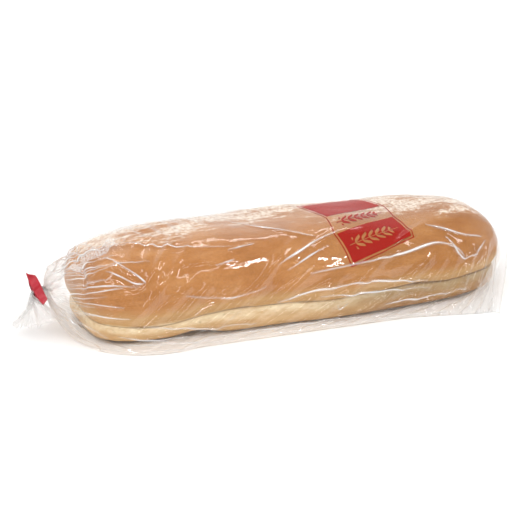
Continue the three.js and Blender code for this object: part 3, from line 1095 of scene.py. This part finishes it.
def crust_material():
    """Baked wheat crust: dry and matt, golden where the heat reached it, pale where the dough
    tore along the side, and dusted with flour on top, with painted shade in dark brown along the crease."""
    material, tree = new_material("baked_wheat_crust")
    place = add_node(tree, "TexCoord").outputs["Object"]
    stretched = add_node(tree, "Mapping", place, Scale=(0.35, 1.0, 1.0))
    level = add_node(tree, "Attribute", attribute_name="level").outputs["Fac"]
    broad = add_node(tree, "TexNoise", place, Scale=1 / (60 * MM), Detail=2)
    mottle = add_node(tree, "TexNoise", stretched, Scale=1 / (12 * MM), Detail=5, Roughness=0.65)
    grain = add_node(tree, "TexNoise", place, Scale=1 / (1.4 * MM), Detail=2, Roughness=0.7)
    pores = add_node(tree, "TexNoise", place, Scale=1 / (3.5 * MM), Detail=1)

    baked = [(0.34, "#ac6f36"), (0.5, "#b97c40"), (0.66, "#c58c52")]
    blotched = [(0.32, "#a2652c"), (0.5, "#b97b40"), (0.7, "#ce965f")]
    golden = add_node(tree, "ValToRGB", broad, stops=baked)
    patches = add_node(tree, "ValToRGB", mottle, stops=blotched)
    golden = add_node(tree, "Mix:RGBA", 0.5, golden, patches)
    grainy = add_node(tree, "ValToRGB", grain, stops=[(0.35, 0.62), (0.6, 1.06)])
    golden = add_node(tree, "Mix:RGBA", 0.4, golden, grainy, blend_type="MULTIPLY")
    speck = add_node(tree, "TexNoise", place, Scale=1 / (6 * MM), Detail=2)
    speck = add_node(tree, "ValToRGB", speck, stops=[(0.7, 0.0), (0.78, 0.45)])
    golden = add_node(tree, "Mix:RGBA", speck, golden, "#8f5526")
    where = add_node(tree, "SeparateXYZ", place).outputs
    far_end = add_node(tree, "Math:MULTIPLY_ADD", where["X"], 12.0, -0.1, use_clamp=True)
    golden = add_node(tree, "Mix:RGBA", far_end, golden, "#f2efe0", blend_type="MULTIPLY")
    ragged = add_node(tree, "Math:MULTIPLY_ADD", mottle, 3.0, add_node(tree, "Math:SUBTRACT", level, 1.5))
    ragged = add_node(tree, "Math:DIVIDE", ragged, RIDGE_AT)
    band = add_node(tree, "ValToRGB", ragged, stops=[(0.0, 1.0), (0.59, 1.0), (0.655, 0.0)])
    colour = add_node(tree, "Mix:RGBA", add_node(tree, "Math:MULTIPLY", band, 0.64), golden, "#d2ac74")
    lip = add_node(tree, "ValToRGB", ragged, stops=[(0.22, 0.0), (0.31, 1.0), (0.46, 1.0), (0.5, 0.0)])
    dough = add_node(tree, "TexNoise", stretched, Scale=1 / (5 * MM), Detail=4, Roughness=0.7)
    lip_colour = add_node(tree, "ValToRGB", dough, stops=[(0.3, "#d6b587"), (0.62, "#efddb9")])
    lip_colour = add_node(tree, "Mix:RGBA", far_end, lip_colour, "#beb3a3", blend_type="MULTIPLY")
    pits = add_node(tree, "TexNoise", place, Scale=1 / (2.6 * MM), Detail=2)
    pits = add_node(tree, "ValToRGB", pits, stops=[(0.64, 0.0), (0.72, 0.55)])
    lip_colour = add_node(tree, "Mix:RGBA", pits, lip_colour, "#96733f")
    colour = add_node(tree, "Mix:RGBA", lip, colour, lip_colour)
    under = add_node(tree, "ValToRGB", ragged, stops=[(0.25, 1.0), (0.37, 0.0)])
    under_colour = add_node(tree, "ValToRGB", mottle, stops=[(0.35, "#c59963"), (0.65, "#dcb784")])
    under_colour = add_node(tree, "Mix:RGBA", far_end, under_colour, "#d0c0ae", blend_type="MULTIPLY")
    under = add_node(tree, "Math:MULTIPLY", under, 0.85)
    colour = add_node(tree, "Mix:RGBA", under, colour, under_colour)
    # Painted shade: dark brown laid along the crease, where the groove falls into shade.
    crease = add_node(tree, "Attribute", attribute_name="crease").outputs["Fac"]
    crease_shade = add_node(tree, "ValToRGB", crease, stops=[(0.7, 0.0), (0.97, 0.6)])
    colour = add_node(tree, "Mix:RGBA", crease_shade, colour, "#80592f")

    normal = add_node(tree, "NewGeometry").outputs["Normal"]
    upward = add_node(tree, "SeparateXYZ", normal).outputs["Z"]
    floury = add_node(tree, "TexNoise", stretched, Scale=1 / (18 * MM), Detail=7, Roughness=0.78)
    ridge = add_node(tree, "Math:MULTIPLY_ADD", where["Y"], 5.0, 0.135, use_clamp=True)
    ridge = add_node(tree, "Math:MULTIPLY_ADD", far_end, 0.055, ridge)
    ridge = add_node(tree, "Math:MINIMUM", ridge, 0.195)
    dust = add_node(tree, "Math:MULTIPLY_ADD", upward, 0.26, add_node(tree, "Math:ADD", floury, ridge))
    dust = add_node(tree, "ValToRGB", dust, stops=[(0.87, 0.0), (0.95, 1.0)])
    powder = add_node(tree, "TexNoise", place, Scale=1 / (3.2 * MM), Detail=3, Roughness=0.8)
    powder = add_node(tree, "ValToRGB", powder, stops=[(0.39, 0.12), (0.55, 1.0)])
    dust = add_node(tree, "Math:MULTIPLY", dust, powder)
    colour = add_node(tree, "Mix:RGBA", add_node(tree, "Math:MULTIPLY", dust, 0.9), colour, "#f1e6d6")

    relief = add_node(tree, "Math:MULTIPLY_ADD", pores, 0.6, add_node(tree, "Math:MULTIPLY", grain, 0.4))
    relief = add_node(tree, "Math:MULTIPLY_ADD", mottle, 1.2, relief)
    bump = add_node(tree, "Bump", Height=relief, Strength=0.45, Distance=0.7 * MM)
    shader = add_node(
        tree,
        "BsdfPrincipled",
        Base_Color=colour,
        Normal=bump,
        Roughness=0.75,
        IOR=1.4,
        Specular_IOR_Level=0.25,
    )
    add_node(tree, "OutputMaterial", shader)
    return material


def ridges(tree, place, size, sharpness, detail=1.0, distortion=0.6):
    """Thin wandering lines, bright on a dark ground, about `size` metres apart."""
    way = {"Scale": 1 / size, "Detail": detail, "Roughness": 0.45, "Distortion": distortion}
    value = add_node(tree, "TexNoise", place, **way)
    away = add_node(tree, "Math:ABSOLUTE", add_node(tree, "Math:MULTIPLY_ADD", value, 2.0, -1.0))
    return add_node(tree, "Math:POWER", add_node(tree, "Math:SUBTRACT", 1.0, away), sharpness)


def inside(tree, right, up, low, high):
    """1 within the rectangle from low to high, 0 outside it."""
    share = 1.0
    for value, start, end in ((right, low[0], high[0]), (up, low[1], high[1])):
        share = add_node(tree, "Math:MULTIPLY", add_node(tree, "Math:GREATER_THAN", value, start), share)
        share = add_node(tree, "Math:MULTIPLY", add_node(tree, "Math:LESS_THAN", value, end), share)
    return share


def wheat_ear(tree, right, up, middle):
    """A plain ear of wheat: slanting grains in pairs on either side of a stalk."""
    away = add_node(tree, "Math:ABSOLUTE", add_node(tree, "Math:SUBTRACT", up, middle))
    slanted = add_node(tree, "Math:DIVIDE", add_node(tree, "Math:SUBTRACT", right, away), GRAIN_STEP)
    swell = add_node(tree, "Math:SINE", add_node(tree, "Math:MULTIPLY", away, math.pi / EAR_HALF_WIDTH))
    wave = add_node(tree, "Math:PINGPONG", slanted, 0.5)
    grains = add_node(tree, "Math:LESS_THAN", wave, add_node(tree, "Math:MULTIPLY", swell, 0.34))
    low, high = (-0.125, middle - EAR_HALF_WIDTH), (-0.088, middle + EAR_HALF_WIDTH)
    ear = add_node(tree, "Math:MULTIPLY", grains, inside(tree, right, up, low, high))
    stalk = inside(tree, right, up, (-0.129, middle - 0.4 * MM), (-0.082, middle + 0.4 * MM))
    return add_node(tree, "Math:MAXIMUM", ear, stalk)


def print_mask(tree, flat):
    """Where the ink lies: two plain panels in a keyline, with an ear of wheat left clear in one
    and another printed between them."""
    turn_x, turn_y = math.cos(PRINT_TURN), math.sin(PRINT_TURN)
    axes = (turn_y, -turn_x, 0), (turn_x, turn_y, 0)
    right, up = (add_node(tree, "VectorMath:DOT_PRODUCT", flat, axis) for axis in axes)
    beyond = add_node(tree, "Math:SUBTRACT", up, PUCKER_FROM)
    pucker = add_node(tree, "Math:DIVIDE", beyond, PUCKER_OVER, use_clamp=True)
    right = add_node(tree, "Math:MULTIPLY_ADD", pucker, -PUCKER_SHIFT, right)
    clear_ear, ink_ear = (wheat_ear(tree, right, up, middle) for middle in EARS)
    front, back = (inside(tree, right, up, *panel) for panel in (PANEL_FRONT, PANEL_BACK))
    ink = add_node(tree, "Math:SUBTRACT", front, clear_ear, use_clamp=True)
    ink = add_node(tree, "Math:MAXIMUM", ink, back)
    ink = add_node(tree, "Math:MAXIMUM", ink, ink_ear)
    inner = [tuple(v + side * KEYLINE_WIDTH for v in KEYLINE[k]) for k, side in ((0, 1), (1, -1))]
    edges = (inside(tree, right, up, *rectangle) for rectangle in (KEYLINE, inner))
    line = add_node(tree, "Math:SUBTRACT", *edges)
    return add_node(tree, "Math:MAXIMUM", ink, line)


def stuck_flour(tree, flat):
    """How thickly flour sticks inside the film: grains in one slanting band near the neck."""
    band = add_node(
        tree,
        "Mapping",
        flat,
        vector_type="TEXTURE",
        Location=FLOURY_MIDDLE,
        Rotation=(0, 0, FLOURY_TURN),
        Scale=FLOURY_HALF,
    )
    sides = add_node(tree, "SeparateXYZ", band).outputs
    reach = add_node(tree, "Math:MAXIMUM", *(add_node(tree, "Math:ABSOLUTE", sides[k]) for k in "XY"))
    ragged = add_node(tree, "TexNoise", flat, Scale=1 / (8 * MM), Detail=3)
    ragged = add_node(tree, "Math:MULTIPLY_ADD", ragged, 0.9, reach)
    share = add_node(tree, "Math:MULTIPLY_ADD", ragged, -4.0, 5.8, use_clamp=True)
    grains = add_node(tree, "TexNoise", flat, Scale=1 / (1.6 * MM), Detail=3, Roughness=0.7)
    grains = add_node(tree, "ValToRGB", grains, stops=[(0.4, 0.05), (0.6, 0.62)])
    return add_node(tree, "Math:MULTIPLY", share, grains)


def crumb_material():
    """Crumbs and clots of flour: dry, matt and off-white, a few of them toasted."""
    material, tree = new_material("flour_and_crumbs")
    place = add_node(tree, "TexCoord").outputs["Object"]
    toasted = add_node(tree, "TexNoise", place, Scale=1 / (4 * MM), Detail=1)
    toast = [(0.4, "#f0e4d2"), (0.62, "#e2cba6"), (0.72, "#b98550")]
    colour = add_node(tree, "ValToRGB", toasted, stops=toast)
    rough = add_node(tree, "TexNoise", place, Scale=1 / (0.5 * MM), Detail=3)
    bump = add_node(tree, "Bump", Height=rough, Strength=0.4, Distance=0.2 * MM)
    shader = add_node(tree, "BsdfPrincipled", Base_Color=colour, Normal=bump, Roughness=0.9)
    add_node(tree, "OutputMaterial", shader)
    return material


def film_material(settings):
    """Cast polypropylene film: clear and glossy, milky at a glancing view and where it is
    gathered, white on its fold crests, partly as creased film whitens and partly as painted
    highlight, with panels of red ink printed on it."""
    material, tree = new_material("cast_polypropylene_film")
    flat = add_node(tree, "UVMap", uv_map="flat_film").outputs["UV"]
    gather = add_node(tree, "Attribute", attribute_name="gather").outputs["Fac"]
    facing = add_node(tree, "LayerWeight", Blend=0.5).outputs["Facing"]

    long_way, pleat_way = (
        add_node(tree, "Mapping", flat, Scale=(1.0, share, 1.0)) for share in (0.3, 0.05)
    )
    creases = ridges(tree, long_way, 30 * MM, sharpness=9.0)
    small = ridges(tree, flat, 12 * MM, sharpness=6.0)
    pleats = ridges(tree, pleat_way, 4 * MM, sharpness=2.0, detail=2.0, distortion=0.0)
    pleats = add_node(tree, "Math:MULTIPLY", pleats, gather)
    relief = add_node(tree, "Math:MULTIPLY", creases, 0.35)
    relief = add_node(tree, "Math:MULTIPLY_ADD", small, 0.12, relief)
    relief = add_node(tree, "Math:MULTIPLY_ADD", pleats, 1.4, relief)
    surface = add_node(tree, "Bump", Height=relief, Strength=0.6, Distance=0.6 * MM)

    clear = add_node(tree, "BsdfTransparent", Color=(0.994, 0.993, 0.992, 1))
    lit = add_node(tree, "BsdfDiffuse", Normal=surface, Color=(0.94, 0.93, 0.92, 1))
    shone = add_node(tree, "BsdfTranslucent", Normal=surface, Color=(0.94, 0.93, 0.92, 1))
    haze = add_node(tree, "MixShader", 0.45, lit, shone)
    veil = add_node(tree, "Math:MULTIPLY_ADD", add_node(tree, "Math:POWER", facing, 3.0), 0.12, 0.004)
    tight = add_node(tree, "Math:MULTIPLY", add_node(tree, "Math:POWER", gather, 3.0), 2.3)
    milky = add_node(tree, "Math:MULTIPLY_ADD", pleats, 0.42, 0.12)
    milky = add_node(tree, "Math:MULTIPLY", tight, milky)
    beyond = add_node(tree, "SeparateXYZ", flat).outputs["Y"]
    near_seal = add_node(tree, "Math:MULTIPLY_ADD", beyond, -20.0, 1.1, use_clamp=True)
    milky = add_node(tree, "Math:MULTIPLY_ADD", near_seal, 0.07, milky)
    milky = add_node(tree, "Math:ADD", milky, stuck_flour(tree, flat))
    crease = add_node(tree, "Attribute", attribute_name="crease").outputs["Fac"]
    veil = add_node(tree, "Math:ADD", veil, milky, use_clamp=True)
    body = add_node(tree, "MixShader", veil, clear, haze)

    # White on the fold crests: partly the whitening of creased film, partly painted highlight in place of
    # the lamps' reflection.
    crest_whitening_and_highlight = add_node(tree, "BsdfDiffuse", Color=(1, 1, 1, 1))
    white = add_node(tree, "Math:POWER", crease, 1.5)
    white = add_node(tree, "Math:MULTIPLY", white, 0.75, use_clamp=True)
    body = add_node(tree, "MixShader", white, body, crest_whitening_and_highlight)

    ink_clear = add_node(tree, "BsdfTransparent", Color=(0.85, 0.32, 0.2, 1))
    ink_solid = add_node(tree, "BsdfDiffuse", Color=tuple(settings.ink))
    ink = add_node(tree, "MixShader", 0.5, ink_clear, ink_solid)
    printed = add_node(tree, "MixShader", print_mask(tree, flat), body, ink)
    gloss = add_node(tree, "BsdfGlossy", Normal=surface, Roughness=0.06, Color=(1, 1, 1, 1))
    mirror = add_node(tree, "Math:MULTIPLY_ADD", add_node(tree, "Math:POWER", facing, 4.5), 0.4, 0.035)
    mirror = add_node(tree, "Math:MULTIPLY_ADD", crease, 0.3, mirror, use_clamp=True)
    film = add_node(tree, "MixShader", mirror, printed, gloss)
    add_node(tree, "OutputMaterial", film)
    return material


def tape_material(settings):
    """Printed polypropylene tape: smooth and slightly glossy."""
    material, tree = new_material("coated_polypropylene_tape")
    place = add_node(tree, "TexCoord").outputs["Object"]
    worn = add_node(tree, "TexNoise", place, Scale=1 / (4 * MM), Detail=3)
    fade = add_node(tree, "ValToRGB", worn, stops=[(0.3, 0.8), (0.7, 1.0)])
    colour = add_node(tree, "Mix:RGBA", 1.0, tuple(settings.colour), fade, blend_type="MULTIPLY")
    bump = add_node(tree, "Bump", Height=worn, Strength=0.2, Distance=0.3 * MM)
    shader = add_node(tree, "BsdfPrincipled", Base_Color=colour, Normal=bump, Roughness=0.32)
    add_node(tree, "OutputMaterial", shader)
    return material


# ---------------------------------------------------------------- the stage


FLOOR_HALF = 4.0
FILM_LAYERS_SEEN = 64  # the gathered neck stacks many layers of clear film
LAMP_DISTANCE = 1.7  # from the loaf's middle
CAMERA_LENS = 166.0
CAMERA_AIM = Vector((4.5 * MM, 0, 32.6 * MM))


def turned_away(turn, rise):
    """The way to a place turned so far round from the front and raised so far."""
    return Vector((math.sin(turn) * math.cos(rise), -math.cos(turn) * math.cos(rise), math.sin(rise)))


def make_floor():
    """A plain table top of white laminate, which is even and almost matt."""
    half = FLOOR_HALF
    corners = [(-half, -half, 0), (half, -half, 0), (half, half, 0), (-half, half, 0)]
    floor = mesh_object("table", corners, [(0, 1, 2, 3)], smooth=False)
    material, tree = new_material("white_laminate")
    shader = add_node(tree, "BsdfPrincipled", Base_Color=(0.94, 0.94, 0.94, 1), Roughness=0.6)
    add_node(tree, "OutputMaterial", shader)
    floor.data.materials.append(material)


BACKDROP_WAY = (0.2, 0.92, 0.33)  # from the loaf to the middle of the bright backdrop


def make_world():
    """White all round. What the film mirrors of it is white only behind the loaf, as a backdrop
    is, and dim elsewhere, so that only the lamps show in the film's front."""
    world = bpy.data.worlds.new("studio")
    bpy.context.scene.world = world
    world.use_nodes = True
    tree = world.node_tree
    tree.nodes.clear()
    glossy = add_node(tree, "LightPath").outputs["Is Glossy Ray"]
    way = add_node(tree, "TexCoord").outputs["Generated"]
    behind = add_node(tree, "VectorMath:DOT_PRODUCT", way, BACKDROP_WAY)
    backdrop = add_node(tree, "Math:MULTIPLY_ADD", behind, 4.0, -2.4, use_clamp=True)
    backdrop = add_node(tree, "Math:MULTIPLY_ADD", backdrop, 0.6, 0.36)
    white = add_node(tree, "Background", Color=(1, 1, 1, 1), Strength=1.15)
    dim = add_node(tree, "Background", Strength=backdrop, Color=(1, 1, 1, 1))
    mixed = add_node(tree, "MixShader", glossy, white, dim)
    add_node(tree, "OutputWorld", mixed)


def make_lights():
    """Narrow lamps high in front, which the film shows as thin streaks, and a soft one above."""
    aim = Vector((LOAF_MIDDLE.x, 0, 0.03))
    for name, turn, rise, size, radiance, mirrored, lights in (
        ("strip_left", -75, 48, (0.12, 0.8), 6, True, True),
        ("strip_front", 5, 52, (0.9, 0.08), 5, True, True),
        ("strip_right", 60, 40, (0.12, 0.7), 6, True, True),
        ("glint_high", -30, 78, (1.2, 0.06), 5, True, False),
        ("glint_low", -10, 24, (0.8, 0.05), 6, True, False),
        ("glint_back", 160, 55, (1.0, 0.08), 6, True, False),
        ("spark_left", -48, 60, (0.12, 0.10), 38, True, False),
        ("spark_right", 30, 50, (0.14, 0.10), 38, True, False),
        ("soft_key", -25, 62, (1.1, 1.1), 1.5, False, True),
    ):
        lamp = bpy.data.lights.new(name, "AREA")
        lamp.shape = "RECTANGLE"
        lamp.size, lamp.size_y = size
        lamp.energy = math.pi * size[0] * size[1] * radiance
        obj = bpy.data.objects.new(name, lamp)
        away = turned_away(math.radians(turn), math.radians(rise))
        obj.location = aim + away * LAMP_DISTANCE
        obj.rotation_euler = away.to_track_quat("Z", "Y").to_euler()
        obj.visible_glossy = mirrored
        obj.visible_diffuse = lights
        bpy.context.scene.collection.objects.link(obj)


def make_camera(settings):
    """A long lens, a little round from the loaf's front and above it."""
    camera = bpy.data.cameras.new("camera")
    camera.lens = CAMERA_LENS
    obj = bpy.data.objects.new("camera", camera)
    back = turned_away(settings.azimuth, settings.elevation)
    obj.location = CAMERA_AIM + back * settings.distance
    obj.rotation_euler = back.to_track_quat("Z", "Y").to_euler()
    bpy.context.scene.collection.objects.link(obj)
    bpy.context.scene.camera = obj


# ---------------------------------------------------------------- operators


class BREAD_OT_loaf(bpy.types.Operator):
    """Makes the baked loaf"""

    bl_idname = "bread.loaf"
    bl_label = "Loaf"

    def execute(self, context):
        loaf = make_loaf_mesh(context.scene.bread_loaf)
        finish_piece(loaf, "loaf", crust_material())
        return {"FINISHED"}


class BREAD_OT_bag(bpy.types.Operator):
    """Drapes the film bag over the loaf and gathers it at the neck"""

    bl_idname = "bread.bag"
    bl_label = "Film Bag"

    def execute(self, context):
        settings = context.scene.bread_bag
        bag, folds = make_bag(settings, bpy.data.objects["ciabatta_loaf"])
        film = film_material(settings)
        finish_piece(bag, "bag", film)
        finish_piece(folds, None, film)
        return {"FINISHED"}


class BREAD_OT_crumbs(bpy.types.Operator):
    """Scatters flour and crumbs over the crust and round the loaf's foot"""

    bl_idname = "bread.crumbs"
    bl_label = "Loose Crumbs"

    def execute(self, context):
        material = crumb_material()
        crumbs = make_crumbs(context.scene.bread_crumbs, bpy.data.objects["ciabatta_loaf"], material)
        finish_piece(crumbs, None, material)
        return {"FINISHED"}


class BREAD_OT_tape(bpy.types.Operator):
    """Folds the tape round the bag's neck"""

    bl_idname = "bread.tape"
    bl_label = "Neck Tape"

    def execute(self, context):
        settings = context.scene.bread_tape
        finish_piece(make_tape(settings), "neck_tape", tape_material(settings))
        return {"FINISHED"}


class BREAD_OT_stage(bpy.types.Operator):
    """Makes the pale table, the soft lights and the camera"""

    bl_idname = "bread.stage"
    bl_label = "Stage"

    def execute(self, context):
        make_floor()
        make_world()
        make_lights()
        make_camera(context.scene.bread_stage)
        context.scene.view_settings.view_transform = "Standard"
        context.scene.cycles.transparent_max_bounces = FILM_LAYERS_SEEN
        return {"FINISHED"}


# ---------------------------------------------------------------- panel and registration


class BREAD_PT_panel(bpy.types.Panel):
    """Lists the pieces and their settings"""

    bl_label = "Bagged Ciabatta"
    bl_idname = "BREAD_PT_panel"
    bl_space_type = "VIEW_3D"
    bl_region_type = "UI"
    bl_category = "Bread"

    def draw(self, context):
        layout = self.layout
        for title, group, operator in PIECES:
            box = layout.box()
            box.operator(operator, text=title)
            settings = getattr(context.scene, group)
            for key in settings.__annotations__:
                box.prop(settings, key)


PIECES = [
    ("Loaf", "bread_loaf", "bread.loaf"),
    ("Crumbs", "bread_crumbs", "bread.crumbs"),
    ("Film Bag", "bread_bag", "bread.bag"),
    ("Neck Tape", "bread_tape", "bread.tape"),
    ("Stage", "bread_stage", "bread.stage"),
]
GROUPS = {
    "bread_loaf": LoafSettings,
    "bread_crumbs": CrumbSettings,
    "bread_bag": BagSettings,
    "bread_tape": TapeSettings,
    "bread_stage": StageSettings,
}
CLASSES = (
    LoafSettings,
    CrumbSettings,
    BagSettings,
    TapeSettings,
    StageSettings,
    BREAD_OT_loaf,
    BREAD_OT_crumbs,
    BREAD_OT_bag,
    BREAD_OT_tape,
    BREAD_OT_stage,
    BREAD_PT_panel,
)


def register():
    for cls in CLASSES:
        bpy.utils.register_class(cls)
    for name, group in GROUPS.items():
        setattr(bpy.types.Scene, name, PointerProperty(type=group))


def unregister():
    for name in GROUPS:
        delattr(bpy.types.Scene, name)
    for cls in reversed(CLASSES):
        bpy.utils.unregister_class(cls)


def main():
    register()
    bpy.ops.bread.loaf()
    bpy.ops.bread.crumbs()
    bpy.ops.bread.bag()
    bpy.ops.bread.tape()
    bpy.ops.bread.stage()


if __name__ == "__main__":
    main()
